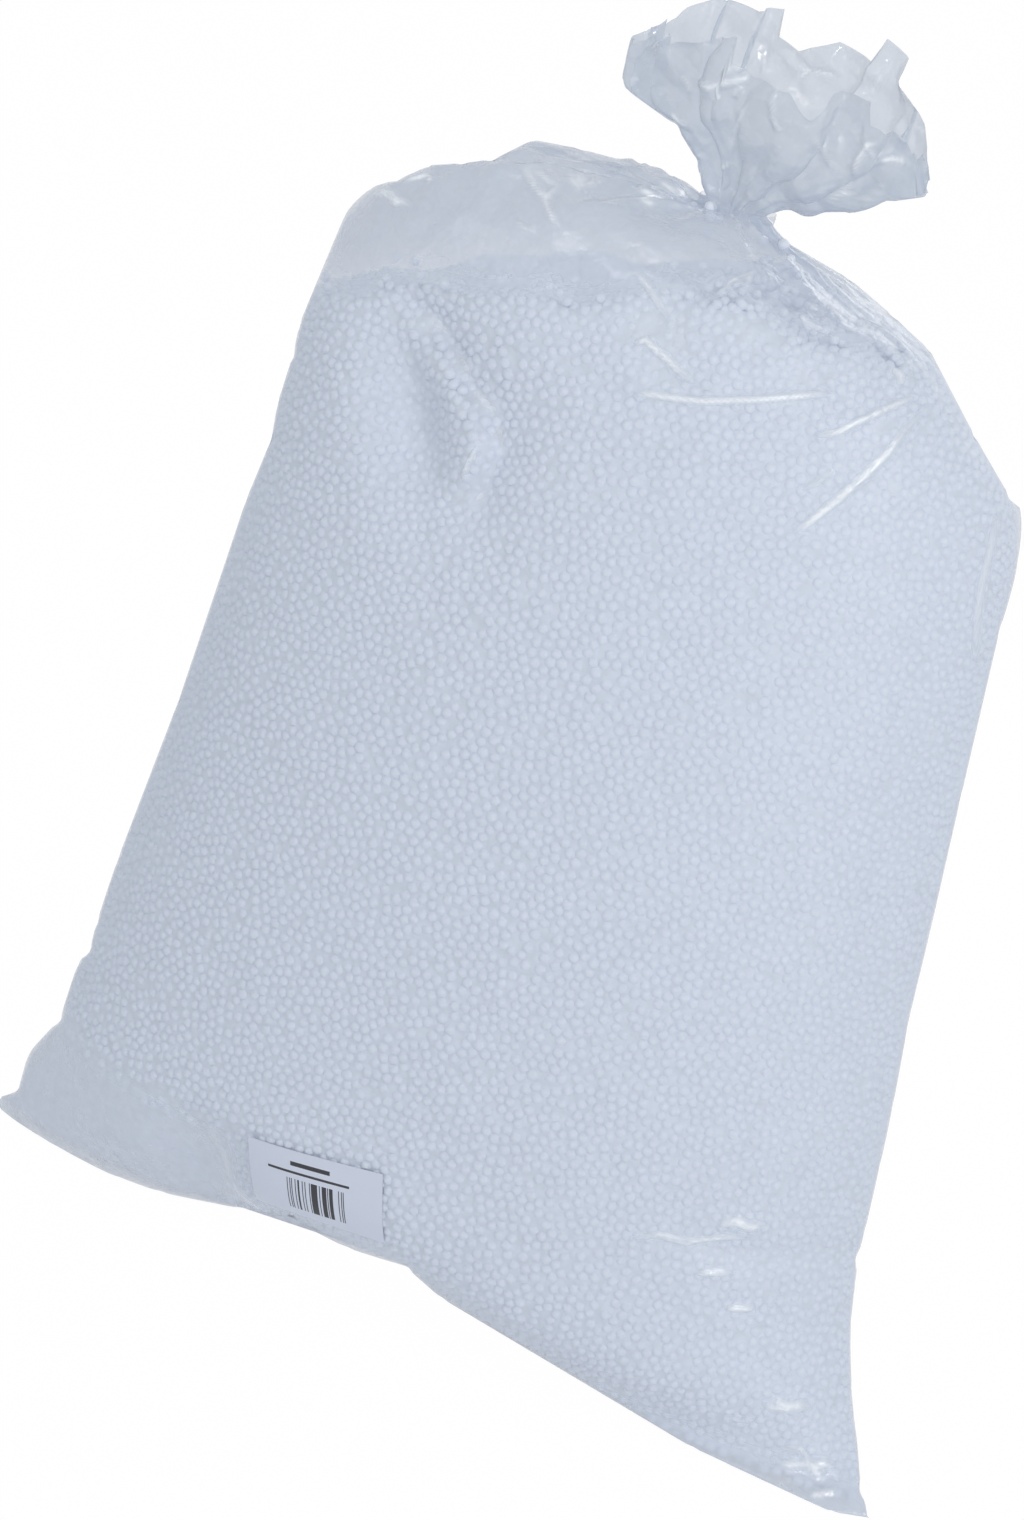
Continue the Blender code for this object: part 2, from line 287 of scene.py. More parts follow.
# The beads stuck above the fill: on which rings, how far up they reach on the left and on the right, and
# how far inside the film their middles lie
STUCK_RINGS, STUCK_REACH, STUCK_DEPTH = (6.6, 9.2), (0.006, 0.012), 0.0034

# The label's plain bars, each as its left, right, lower and upper edge in shares of the paper
STRIPES, STRIPE_COUNT = (0.30, 0.72, 0.14, 0.60), 150.0
PRINTED_LINES = ((0.33, 0.62, 0.78, 0.84), (0.16, 0.76, 0.67, 0.705))

# The tape round the neck: its distance from it, and the heights of its waves and creases
TAPE_GAP, TAPE_PINCH, TAPE_CREASE = 0.0004, 0.0002, 0.0004

LAMP_TARGET = (-0.02, 0.0, 0.32)
# Each lamp's name, place, size, share of the light's strength, and colour
LAMPS = (
    ("key_light", (1.1, -1.1, 1.2), (0.22, 0.22), 0.54, (1.0, 0.99, 0.98)),
    ("low_light", (1.3, -1.2, 0.25), (0.8, 0.3), 0.30, (0.96, 0.98, 1.0)),
    ("left_light", (-1.2, -1.0, 0.9), (0.08, 1.00), 0.10, (0.95, 0.97, 1.0)),
    ("top_light", (-0.1, -0.9, 1.7), (1.20, 0.08), 0.30, (1.0, 1.0, 1.0)),
    ("back_light", (0.3, 1.5, 1.3), (1.00, 0.60), 0.50, (1.0, 1.0, 1.0)),
)
FLOOR_GLOW, FLOOR_SEEN = 0.16, 0.83  # the floor's share of plain white, and what it gains where it is seen
SKY_COLOUR, SKY_STRENGTH = (0.90, 0.95, 1.0, 1), 0.61


# The loft


def rings():
    """The film's rings from the weld up, as (left, right, front, back) points like the source's."""
    half, deep = BODY_WIDTH / 2, BODY_DEPTH / 2
    top = SHOULDER_HEIGHT
    rise = NECK_HEIGHT - SHOULDER_HEIGHT
    neck, slot = NECK_WIDTH / 2, NECK_DEPTH / 2

    def weld():
        ear = WELD_WIDTH / 2
        middle = (-1.45 * EAR_REACH, 0.0)
        left = (-ear, -0.65 * EAR_REACH, EAR_LIFT)
        right = (ear, -1.30 * EAR_REACH, EAR_LIFT)
        return left, right, middle, middle

    def body(left, right, side_y, side_z, front, front_z, back, back_z):
        return (
            (BODY_OFFSET - left * half, side_y * deep, side_z * top),
            (BODY_OFFSET + right * half, side_y * deep, side_z * top),
            (-front * deep, front_z * top),
            (back * deep, back_z * top),
        )

    def gather(share, left, right, height, drop, front, back):
        z = SHOULDER_HEIGHT + height * rise
        width = half + share * (neck - half)
        depth = deep + share * (slot - deep)
        x = BODY_OFFSET + share * NECK_OFFSET
        return (
            (x - left * width, 0.0, z),
            (x + right * width, 0.0, z - drop * rise),
            (-front * depth, z),
            (back * depth, z),
        )

    def collar(z):
        x = BODY_OFFSET + NECK_OFFSET
        return (x - neck, 0.0, z), (x + neck, 0.0, z), (-slot, z), (slot, z)

    def tail(share, left, right, left_drop, right_drop, depth):
        x = BODY_OFFSET + NECK_OFFSET + share * TAIL_LEAN
        z = NECK_HEIGHT + TIE_WIDTH / 2 + share * (TAIL_HEIGHT - TIE_WIDTH / 2)
        return (
            (x - left * TAIL_WIDTH / 2, 0.0, z - left_drop * TAIL_HEIGHT),
            (x + right * TAIL_WIDTH / 2, 0.0, z - right_drop * TAIL_HEIGHT),
            (-depth * TAIL_DEPTH / 2, z),
            (depth * TAIL_DEPTH / 2, z),
        )

    return [
        weld(),
        body(1.160, 1.290, -0.30, 0.034, 0.66, 0.034, 0.02, -0.010),
        body(1.135, 1.190, -0.18, 0.097, 0.88, 0.092, 0.52, -0.030),
        body(1.100, 1.100, -0.05, 0.190, 0.97, 0.190, 0.90, 0.072),
        body(1.045, 1.045, 0.0, 0.380, 1.00, 0.380, 1.00, 0.330),
        body(0.985, 0.985, 0.0, 0.640, 1.00, 0.640, 1.00, 0.610),
        body(0.955, 0.935, 0.0, 0.860, 0.93, 0.860, 0.95, 0.850),
        gather(0.02, 0.935, 0.880, 0.10, 0.28, 0.78, 0.82),
        gather(0.25, 0.930, 0.820, 0.76, 0.34, 0.74, 0.74),
        gather(0.68, 0.920, 0.740, 0.94, 0.20, 0.64, 0.64),
        collar(NECK_HEIGHT - TIE_WIDTH / 2),
        collar(NECK_HEIGHT + TIE_WIDTH / 2),
        tail(0.22, 0.46, 0.52, 0.04, 0.08, 0.60),
        tail(0.60, 0.96, 0.98, 0.26, 0.30, 0.90),
        tail(1.00, 0.98, 1.04, 0.48, 0.54, 1.00),
    ]


def ramp(value, start, run):
    """Rises from 0 at start to 1 at start + run, and is level on either side. run may be negative."""
    return np.clip((value - start) / run, 0, 1)


def metres(points):
    """Points given in millimetres."""
    return np.array(points) / 1000


def along(points, at):
    """A smooth curve through points, read at the fractional positions in at."""
    points = np.asarray(points, float)
    last = len(points) - 1
    i = np.clip(np.floor(at).astype(int), 0, last - 1)
    t = (at - i)[:, None]
    p0 = points[np.clip(i - 1, 0, last)]
    p1, p2 = points[i], points[i + 1]
    p3 = points[np.clip(i + 2, 0, last)]
    m1, m2 = (p2 - p0) / 2, (p3 - p1) / 2
    t2, t3 = t * t, t * t * t
    return (2 * t3 - 3 * t2 + 1) * p1 + (t3 - 2 * t2 + t) * m1 + (3 * t2 - 2 * t3) * p2 + (t3 - t2) * m2


def positions(stretches):
    """Fractional ring positions over (start, end, count) stretches, both ends included."""
    parts = [np.linspace(start, end, count, endpoint=False) for start, end, count in stretches]
    return np.concatenate([*parts, [stretches[-1][1]]])


def angles(columns, crowding=0.0):
    """Angles round the bag, with more of them in front when crowding is above 0."""
    even = np.arange(columns) * 2 * math.pi / columns
    return even - crowding * np.cos(even)


def round_section(angle):
    """How far across and how far back the section's edge is at each angle, from -1 to 1."""
    cos, sin = np.cos(angle), np.sin(angle)
    power = 2 / SQUARENESS
    return np.sign(cos) * np.abs(cos) ** power, np.sign(sin) * np.abs(sin) ** power


def tail_share(at):
    return ramp(at, NECK_RINGS[1], MOUTH_RING - NECK_RINGS[1])


def gathers(at, angle, fine):
    """How far the pleats draw each point in, as a share of its distance from the middle."""
    rising = ramp(at, SHOULDER_RING, NECK_RINGS[0] - SHOULDER_RING)
    fading = 0.70 * tail_share(at) ** 0.7 if fine else 0.35 * tail_share(at)
    depth = (PLEAT_DEPTH * rising ** (2.6 if fine else 1.6) * (1 - fading))[:, None]
    if not fine:
        return depth * (1 - np.cos(PLEATS * angle)) / 2
    wander = 0.10 * np.sin(3 * angle + 1.0) + 0.05 * np.sin(8 * angle + 2.2)
    broad = (1 - np.cos(PLEATS * (angle + wander))) / 2
    narrow = (1 - np.cos(2 * PLEATS * angle + 3 * np.sin(2 * angle))) / 2
    return depth * (0.80 * broad + 0.20 * narrow)


def dented(points, front):
    """The points with the front panel's dents, which are those of the source."""
    for x, z, wide, tall, lean, depth in DENTS:
        across = points[..., 0] - x - lean * (points[..., 2] - z)
        share = np.exp(-((across / wide) ** 2) - ((points[..., 2] - z) / tall) ** 2)
        points[..., 1] += np.where(front, depth * share, 0.0)
    return points


def lifted(points):
    """The points with the weld's middle held off the floor, as in the source."""
    from_middle = (points[..., 0] + LIFT_OFFSET) / LIFT_REACH
    forward = ramp(points[..., 1], LIFT_BACK, -2 * LIFT_BACK)
    share = np.exp(-(from_middle**2) - np.maximum(points[..., 2], 0) / LIFT_FADE)
    points[..., 2] += WELD_LIFT * share * forward
    return points


def bag_rows(at, angle, fine=False):
    """Rows of points round the bag at the ring positions in at."""
    left, right, front, back = (np.array(rail, float) for rail in zip(*rings()))
    left, right = along(left, at)[:, None, :], along(right, at)[:, None, :]
    front, back = along(front, at)[:, None, :], along(back, at)[:, None, :]
    forward = np.sin(angle) < 0
    across, out = round_section(angle)
    pleat = 1 - gathers(at, angle, fine)
    across, out = pleat * across, pleat * np.abs(out)
    middle, half = (left + right) / 2, (right - left) / 2
    points = middle + across[..., None] * half
    panel = np.where(forward[None, :, None], front, back) - middle[..., 1:]
    points[..., 1:] += out[..., None] * panel
    points = dented(points, forward[None, :])
    ragged = sum(size * np.sin(waves * angle + turn) for size, waves, turn in RIM_WAVES)
    points[..., 2] += tail_share(at)[:, None] ** 2 * ragged
    points = lifted(points)
    points[..., 2] = np.maximum(points[..., 2], 0.0)
    return points


def outward(rows):
    """The unit normals of a closed grid of rows, pointing out of the bag."""
    around = np.roll(rows, -1, 1) - np.roll(rows, 1, 1)
    up = np.gradient(rows, axis=0)
    normal = np.cross(around, up)
    length = np.linalg.norm(normal, axis=2, keepdims=True)
    return normal / np.maximum(length, 1e-12)


def along_line(points, line):
    """How far each point is from a line of (x, z) in millimetres, on which side and how far along."""
    line = metres(line)
    place = points[..., [0, 2]]
    nearest = np.full(place.shape[:-1], np.inf)
    side, share = np.zeros(nearest.shape), np.zeros(nearest.shape)
    for index, (start, end) in enumerate(zip(line, line[1:])):
        run = end - start
        here = np.clip(((place - start) @ run) / (run @ run), 0, 1)
        away = place - start - here[..., None] * run
        distance = np.linalg.norm(away, axis=-1)
        closer = distance < nearest
        nearest = np.where(closer, distance, nearest)
        side = np.where(closer, np.sign(run[1] * away[..., 0] - run[0] * away[..., 1]), side)
        share = np.where(closer, (index + here) / (len(line) - 1), share)
    return nearest, side, share


def creases(points, normal):
    """How far the sharp creases lift the film at each point. Each one fades towards its ends."""
    lift = np.zeros(points.shape[:-1])
    facing = np.sign(normal[..., 1])
    for panel, ridges in RIDGES.items():
        for line, reach, height in ridges:
            distance, _, share = along_line(points, line)
            taper = np.clip(CREASE_TAPER * share * (1 - share) + CREASE_END, 0, 1)
            reach, height = metres((reach, height))
            crest = height * np.exp(-((distance / reach) ** 2)) * taper
            lift += np.where(facing == panel, crest, 0.0)
    return lift


def hollows(points, normal):
    """How far the broad hollows draw the film in at each point, and the beads behind it."""
    dip = np.zeros(points.shape[:-1])
    facing = np.sign(normal[..., 1])
    for panel, line, reach, depth in HOLLOWS:
        distance = along_line(points, line)[0]
        reach, depth = metres((reach, depth))
        dip += np.where(facing == panel, depth * np.exp(-((distance / reach) ** 2)), 0.0)
    distance, side, share = along_line(points, BROW)
    deep, edge, reach = metres((BROW_DEPTH, BROW_EDGE, BROW_REACH))
    fall = np.clip(distance / edge, 0, 1) * np.exp(-((distance / reach) ** 2))
    fall *= (side < 0) * np.clip(BROW_TAPER * share * (1 - share), 0, 1)
    return dip + np.where(facing == FRONT, deep * fall, 0.0)


def view_axes():
    """The camera's right, its up and the way back to it from its target."""
    side, up = math.sin(VIEW_ANGLE), math.sin(VIEW_HEIGHT)
    ahead, level = -math.cos(VIEW_ANGLE), math.cos(VIEW_HEIGHT)
    back = np.array((side * level, ahead * level, up))
    flat = np.array((-ahead, side, 0.0))
    steep = np.cross(back, flat)
    turn_cos, turn_sin = math.cos(VIEW_ROLL), math.sin(VIEW_ROLL)
    return turn_cos * flat + turn_sin * steep, turn_cos * steep - turn_sin * flat, back


def pulled(points, outlines, weight=1.0):
    """Presses points that the camera sees outside the outlines back to them, softly."""
    right, up, back = view_axes()
    for outline in map(metres, outlines):
        for start, end in zip(outline, outline[1:]):
            offset = points - np.array(VIEW_TARGET)
            nearness = 1 - offset @ back / VIEW_DISTANCE
            seen = np.stack([offset @ right, offset @ up], -1) / nearness[..., None]
            run = end - start
            length = np.linalg.norm(run)
            ahead, out = run / length, np.array((-run[1], run[0])) / length
            beyond = np.abs((seen - start) @ ahead - length / 2) - length / 2
            over = np.clip((seen - start) @ out / PULL_SOFTNESS - PULL_START, *PULL_LIMITS)
            press = PULL_SOFTNESS * np.logaddexp(0, over) * np.clip(1 - beyond / PULL_FADE, 0, 1) * weight
            points = points - (press * nearness)[..., None] * (out[0] * right + out[1] * up)
    return points


def noise_field(points, read):
    """A noise function's value at every point."""
    flat = points.reshape(-1, 3)
    values = np.array([read(Vector(point)) for point in flat])
    return values.reshape(points.shape[:-1])


def facets(size, seed):
    """A function that reads the flat facets of creased film, about 0 between valley and peak."""
    turn = Euler((seed, 2 * seed, 3 * seed)).to_matrix()

    def read(place):
        near = noise.voronoi(turn @ (place / size), distance_metric="MANHATTAN")[0]
        return min(near[0], 1.2) - 0.6

    return read


def swell(size, seed):
    """A function that reads soft swells of film, from -1 to 1."""
    return lambda place: noise.noise(place / size + Vector((seed, seed, seed)))


def fill_level(points):
    """The uneven top of the beads, which falls away to the left."""
    x, y = points[..., 0], points[..., 1]
    slope = FILL_SLOPE * np.minimum(x - BODY_OFFSET - NECK_OFFSET, 0)
    waves = 0.0030 * np.sin(47 * x + 1.0) + 0.0020 * np.sin(113 * x + 60 * y + 2.0) - 0.0010
    return FILL_HEIGHT + slope + waves


# Meshes


MERGE = 0.00001  # a tube's first and last columns are this close
SHARP = math.radians(60)  # edges sharper than this stay sharp


def deselect_all():
    for obj in bpy.context.view_layer.objects:
        obj.select_set(False)


def select_only(obj):
    deselect_all()
    obj.select_set(True)
    bpy.context.view_layer.objects.active = obj


def new_piece(name):
    """Names the object that the last primitive operator made."""
    obj = bpy.context.active_object
    obj.name = name
    obj.data.name = name
    return obj


def apply_all(obj):
    select_only(obj)
    for modifier in list(obj.modifiers):
        bpy.ops.object.modifier_apply(modifier=modifier.name)


def edit_all(obj, *steps):
    """Runs edit mode steps on the whole mesh."""
    select_only(obj)
    bpy.ops.object.mode_set(mode="EDIT")
    bpy.ops.mesh.select_all(action="SELECT")
    for step in steps:
        step()
    bpy.ops.object.mode_set(mode="OBJECT")


def solid_wall(obj, thickness, offset=-1):
    """Gives a surface its thickness, inwards unless offset is 1."""
    modifier = obj.modifiers.new("wall", "SOLIDIFY")
    modifier.thickness = thickness
    modifier.offset = offset
    apply_all(obj)
    bpy.ops.object.shade_smooth_by_angle(angle=SHARP)


def tube(name, rows):
    """A grid primitive wrapped round into a tube over rows of points, with its seam merged."""
    count_rows, columns = rows.shape[:2]
    deselect_all()
    bpy.ops.mesh.primitive_grid_add(x_subdivisions=columns, y_subdivisions=count_rows - 1, size=2)
    obj = new_piece(name)
    places = np.concatenate([rows, rows[:, :1]], axis=1).reshape(-1, 3)
    obj.data.vertices.foreach_set("co", places.ravel())
    edit_all(obj, lambda: bpy.ops.mesh.remove_doubles(threshold=MERGE))
    obj.data.shade_smooth()
    return obj


def finished(obj, material, node):
    obj.data.materials.clear()
    obj.data.materials.append(material)
    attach(obj, "root")
    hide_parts(node)


# Materials


def sum_method(operation, turned=False):
    """A method that adds a Math node. It is turned where the value stands on the right."""

    def method(self, other):
        sides = (other, self) if turned else (self, other)
        return self.nodes.math(operation, *sides)

    return method


class Value:
    """A socket in a material. Sums written with it add Math nodes."""

    def __init__(self, nodes, socket):
        self.nodes = nodes
        self.socket = socket

    __add__, __radd__ = sum_method("ADD"), sum_method("ADD", True)
    __sub__, __rsub__ = sum_method("SUBTRACT"), sum_method("SUBTRACT", True)
    __mul__, __rmul__ = sum_method("MULTIPLY"), sum_method("MULTIPLY", True)
    __gt__, __lt__ = sum_method("GREATER_THAN"), sum_method("LESS_THAN")


class Nodes:
    """The node tree of one material or world."""

    def __init__(self, owner):
        self.owner = owner
        owner.use_nodes = True
        self.tree = owner.node_tree
        self.tree.nodes.clear()

    def node(self, kind, settings=None, inputs=None, output=0):
        """Adds a node with its settings made first, then its inputs, and returns one output."""
        made = self.tree.nodes.new(kind)
        for name, value in (settings or {}).items():
            setattr(made, name, value)
        for name, value in (inputs or {}).items():
            self.feed(made.inputs[name], value)
        return Value(self, made.outputs[output]) if made.outputs else None

    def feed(self, socket, value):
        if isinstance(value, Value):
            self.tree.links.new(value.socket, socket)
        else:
            socket.default_value = value

    def math(self, operation, left, right):
        return self.node("ShaderNodeMath", {"operation": operation}, {0: left, 1: right})

    def clamp(self, value):
        return self.node("ShaderNodeClamp", {}, {"Value": value, "Min": 0.0, "Max": 1.0})

    def mix(self, share, first, second):
        """A colour between two others."""
        settings = {"data_type": "RGBA"}
        return self.node("ShaderNodeMix", settings, {0: share, 6: first, 7: second}, output=2)

    def place(self):
        return self.node("ShaderNodeTexCoord", {}, {}, "Object")

    def uv(self):
        """The piece's own UV map, as its two numbers."""
        both = self.node("ShaderNodeUVMap")
        split = self.node("ShaderNodeSeparateXYZ", {}, {0: both})
        return split, Value(self, split.socket.node.outputs[1])

    def attribute(self, name):
        """A number kept at each of the piece's points."""
        return self.node("ShaderNodeAttribute", {"attribute_name": name}, {}, "Fac")

    def noise(self, place, size, detail=2.0, warp=0.0):
        """Noise with marks about this big, in metres."""
        inputs = {"Vector": place, "Scale": 1 / size, "Detail": detail, "Distortion": warp}
        return self.node("ShaderNodeTexNoise", {}, inputs, "Fac")

    def cells(self, place, size):
        """The distance to the middle of the nearest of cells about this big."""
        return self.node("ShaderNodeTexVoronoi", {}, {"Vector": place, "Scale": 1 / size}, "Distance")

    def bump(self, height, distance, strength):
        inputs = {"Height": height, "Distance": distance, "Strength": strength}
        return self.node("ShaderNodeBump", {}, inputs)

    def surface(self, **inputs):
        """Ends the tree in a Principled shader. Its sockets are named in lower case with underscores."""
        sockets = {name.replace("_", " ").title(): value for name, value in inputs.items()}
        sockets = {name.replace("Ior", "IOR"): value for name, value in sockets.items()}
        shader = self.node("ShaderNodeBsdfPrincipled", {}, sockets)
        self.node("ShaderNodeOutputMaterial", {}, {"Surface": shader})
        return self.owner


def rgba(colour, share=1.0):
    return (*(share * value for value in colour), 1.0)


# The creases' whitening: partly the film's stress whitening, partly a painted highlight in place of the
# lamps' glints on them
CREASE_WHITE_AND_GLINT_COLOUR = (0.96, 0.98, 1.0, 1.0)
LYING_ROUGHNESS, LYING_HAZE = 0.44, 0.52  # on the beads, the haze as a share of that of the loose film
CREASE_WHITE_AND_GLINT_HAZE = 0.50
LYING_CLOUD, LOOSE_CLOUD = 0.03, 0.11  # how far the haze varies


def film_material(colour, haze, roughness, name):
    """Milky clear film: clearer and duller where it lies on the beads, and glossy where it is loose. Along
    its creases it is whitened and made more opaque: partly the film's stress whitening, partly a painted
    highlight that stands in for the creases' glints.
    """
    nodes = Nodes(bpy.data.materials.new(name))
    place = nodes.place()
    loose, crease = nodes.attribute("loose"), nodes.attribute("crease")
    cloud = nodes.noise(place, 0.060, 2.0)
    wrinkle = nodes.noise(place, 0.011, 2.0, 0.6)
    crinkle = nodes.noise(place, 0.0045, 3.0, 1.2)
    tint = nodes.mix(cloud, rgba(colour, 0.92), rgba(colour))
    # Painted highlight: the creases turn whiter and more opaque where the wrinkle noise is high, standing
    # in for their glints, partly also as stress whitening
    stress_white_and_painted_glint = crease * nodes.clamp(2.4 * wrinkle - 0.2)
    return nodes.surface(
        base_color=nodes.mix(0.85 * stress_white_and_painted_glint, tint, CREASE_WHITE_AND_GLINT_COLOUR),
        roughness=LYING_ROUGHNESS + (roughness - LYING_ROUGHNESS) * loose + 0.06 * cloud,
        alpha=haze * (LYING_HAZE + (1 - LYING_HAZE) * loose)
        + CREASE_WHITE_AND_GLINT_HAZE * stress_white_and_painted_glint
        + (LYING_CLOUD + LOOSE_CLOUD * loose) * (cloud + wrinkle - 1.0),
        normal=nodes.bump(wrinkle + 0.9 * loose * crinkle, 0.0010, 0.5),
        ior=1.50,
        specular_ior_level=1.0,
    )


def bead_material(colour):
    """White expanded polystyrene: matte, with a slight change of tone from bead to bead."""
    nodes = Nodes(bpy.data.materials.new("polystyrene beads"))
    tone = nodes.noise(nodes.place(), 0.009, 0.0)
    return nodes.surface(
        base_color=nodes.mix(tone, rgba(colour, 0.92), rgba(colour)),
        roughness=0.55 + 0.15 * tone,
        normal=nodes.bump(tone, 0.0002, 0.4),
        coat_weight=0.15,
        coat_roughness=0.25,
    )


def core_material(colour):
    """The beads further in, which show only between the first ones. Their colour darkens towards the edge
    of each bead-sized cell: painted shade in the crevices between the beads.
    """
    nodes = Nodes(bpy.data.materials.new("beads further in"))
    ball = nodes.cells(nodes.place(), 0.0054)
    # Painted shade: 18% darker towards each cell's edge, where the crevices between the beads fall
    tint = nodes.mix(ball, rgba(colour), rgba(colour, 0.82))
    return nodes.surface(base_color=tint, roughness=0.8, normal=nodes.bump(1 - ball, 0.0015, 0.6))


def label_material(paper, ink):
    """White label paper with plain printed bars and no words."""
    nodes = Nodes(bpy.data.materials.new("label paper"))
    across, up = nodes.uv()
    fibre = nodes.noise(nodes.place(), 0.0010, 4.0)

    def inside(left, right, low, high):
        return (across > left) * (across < right) * ((up > low) * (up < high))

    stripe = nodes.node("ShaderNodeMath", {"operation": "FLOOR"}, {0: across * STRIPE_COUNT})
    random = nodes.node("ShaderNodeTexWhiteNoise", {"noise_dimensions": "1D"}, {"W": stripe}, "Value")
    printed = inside(*STRIPES) * (random > 0.5)
    for line in PRINTED_LINES:
        printed = printed + inside(*line)
    paper_tint = nodes.mix(fibre, rgba(paper, 0.95), rgba(paper))
    return nodes.surface(
        base_color=nodes.mix(nodes.clamp(printed) * 0.97, paper_tint, rgba(ink)),
        roughness=0.45 + 0.15 * fibre,
        normal=nodes.bump(fibre, 0.00005, 0.5),
    )


# Settings


def length(name, description, default):
    return bpy.props.FloatProperty(name=name, description=description, default=default, unit="LENGTH")


def share_of_light(name, description, default):
    return bpy.props.FloatProperty(
        name=name, description=description, default=default, min=0.0, max=1.0, subtype="FACTOR"
    )


def tint(name, description, default):
    return bpy.props.FloatVectorProperty(
        name=name, description=description, default=default, subtype="COLOR"
    )


class BEADBAG_FilmSettings(bpy.types.PropertyGroup):
    """The film's look."""

    thickness: length("Film thickness", "Wall of the polythene film", FILM)
    crumple: length("Crumple", "Height of the facets in the tail", 0.0048)
    haze: share_of_light("Haze", "Share of the light that one face of the film holds back", 0.42)
    tail_haze: share_of_light("Tail haze", "The same share in the crumpled tail", 0.50)
    colour: tint("Film colour", "Colour of the film's haze", (0.60, 0.655, 0.755))
    tail_colour: tint("Tail colour", "The same in the tail, where more of it overlaps", (0.59, 0.64, 0.725))


class BEADBAG_BeadSettings(bpy.types.PropertyGroup):
    """The beads' look."""

    size: length("Bead size", "Middle size of a bead across", 0.0053)
    stuck: bpy.props.IntProperty(
        name="Stuck beads", description="Beads that cling to the film above the fill", default=300, min=0
    )
    colour: tint("Bead colour", "Colour of the polystyrene", (0.81, 0.85, 0.94))


class BEADBAG_LabelSettings(bpy.types.PropertyGroup):
    """The label's size, tilt and look."""

    width: length("Label width", "Long side of the label", 0.078)
    height: length("Label height", "Short side of the label", 0.041)
    tilt: bpy.props.FloatProperty(
        name="Tilt", description="How far it rises to the right", default=math.radians(11), subtype="ANGLE"
    )
    paper: tint("Paper", "Colour of the paper", (0.685, 0.72, 0.825))
    ink: tint("Ink", "Colour of the printed bars", (0.012, 0.012, 0.018))


class BEADBAG_StageSettings(bpy.types.PropertyGroup):
    """The floor, the lights and the camera."""

    floor: tint("Floor", "Colour of the floor", (0.93, 0.935, 0.94))
    light: bpy.props.FloatProperty(
        name="Light", description="Strength that the lamps share out", default=7.9, unit="POWER"
    )


# Pieces


def with_rim(rows, share):
    """Stretches the tail's rows up or down to its ragged rim. share is 1 at the mouth."""
    mouth = rows[-1]
    front = ramp(mouth[:, 1], 0, -TAIL_DEPTH / 2)
    height, pitch = RIM_WAVE
    drop = RIM_DROP * front * (1 + height * np.sin(pitch * mouth[:, 0]))
    rim = np.interp(mouth[:, 0], *metres(RIM).T) - drop
    rows[..., 2] += share**2 * (rim - mouth[:, 2])
    return rows


def film_surface(stretches, columns, crowding, crumple):
    """Rows of the film's outer side between two ring positions, with its folds and facets."""
    at = positions(stretches)
    rows = bag_rows(at, angles(columns, crowding), fine=True)
    tail = tail_share(at)[:, None]
    if tail.any():
        rows = with_rim(rows, tail)
    normal = outward(rows)
    at = at[:, None]
    slack = ramp(at, *SLACK) * ramp(at, *SLACK_END)
    low = ramp(at, *LOW) * ramp(at, *LOW_END)
    off_tie = ramp(np.abs(at - TIE_RING), TIE_GAP, TIE_GAP)
    opening = ramp(tail, *OPENING)
    broad, middle, small, soft = (height * slack for height in SLACK_HEIGHTS)
    lift = (creases(rows, normal) - hollows(rows, normal) * (at < TIE_RING)) * off_tie
    lift += broad * noise_field(rows, facets(BROAD_FACETS, 5.0))
    lift += (crumple * opening + middle + LOW_HEIGHT * low) * noise_field(rows, facets(FACETS, 3.0))
    lift += (TAIL_SMALL_HEIGHT * opening + small) * noise_field(rows, facets(SMALL_FACETS, 8.0))
    lift += (TAIL_SWELL_HEIGHT * tail + soft) * noise_field(rows, swell(SWELLS, 1.0))
    outlines = TAIL_OUTLINES if tail.any() else BODY_OUTLINES
    film = pulled(rows + normal * lift[..., None], outlines, off_tie)
    film[..., 2] = np.maximum(film[..., 2], 0.0)
    return film


@functools.cache
def body_surface(crumple):
    """The film up to the tie. It is made once, for the film itself and for the beads inside it."""
    return film_surface(BODY_ROWS, BODY_COLUMNS, FRONT_CROWDING, crumple)


def looseness(points, normal):
    """1 where the film is free of the beads or creased, and so milky and glossy, and 0 elsewhere."""
    above = ramp(points[:, 2] - fill_level(points), -0.010, 0.030)
    low = ramp(points[:, 2], 0.030, -0.020)
    crease = ramp(creases(points, normal), 0, 0.0008)
    return np.maximum.reduce([above, low, crease, empty_corner(points)])


def mark_film(obj):
    """Keeps each point's looseness and crease as attributes, for the film's material."""
    count = len(obj.data.vertices)
    points, normal = np.empty(count * 3), np.empty(count * 3)
    obj.data.vertices.foreach_get("co", points)
    obj.data.vertex_normals.foreach_get("vector", normal)
    points, normal = points.reshape(-1, 3), normal.reshape(-1, 3)
    crease = ramp(creases(points, normal), 0, 0.0017) ** 2
    for name, share in (("loose", looseness(points, normal)), ("crease", crease)):
        obj.data.attributes.new(name, "FLOAT", "POINT").data.foreach_set("value", share)


class BEADBAG_OT_film(bpy.types.Operator):
    """Build the film bag: its body and shoulders up to the tie, and its ruffled tail above"""

    bl_idname = "beadbag.film"
    bl_label = "Film bag"

    def execute(self, context):
        settings = context.scene.beadbag_film
        body = body_surface(settings.crumple)
        tail = film_surface(TAIL_ROWS, TAIL_COLUMNS, TAIL_CROWDING, settings.crumple)
        bag_film = film_material(settings.colour, settings.haze, 0.11, "clear film")
        tail_film = film_material(settings.tail_colour, settings.tail_haze, 0.06, "crumpled film")
        low, middle, high = SPLIT_ROWS
        for name, rows, material in (
            ("film_foot", body[: low + 1], bag_film),
            ("film_body", body[low : middle + 1], bag_film),
            ("film_shoulders", body[middle : high + 1], bag_film),
            ("film_neck", body[high:], bag_film),
            ("film_tail", tail, tail_film),
        ):
            piece = tube(name, rows)
            mark_film(piece)
            solid_wall(piece, settings.thickness)
            piece.visible_shadow = False
            piece.visible_diffuse = False
            finished(piece, material, "film_bag")
        return {"FINISHED"}


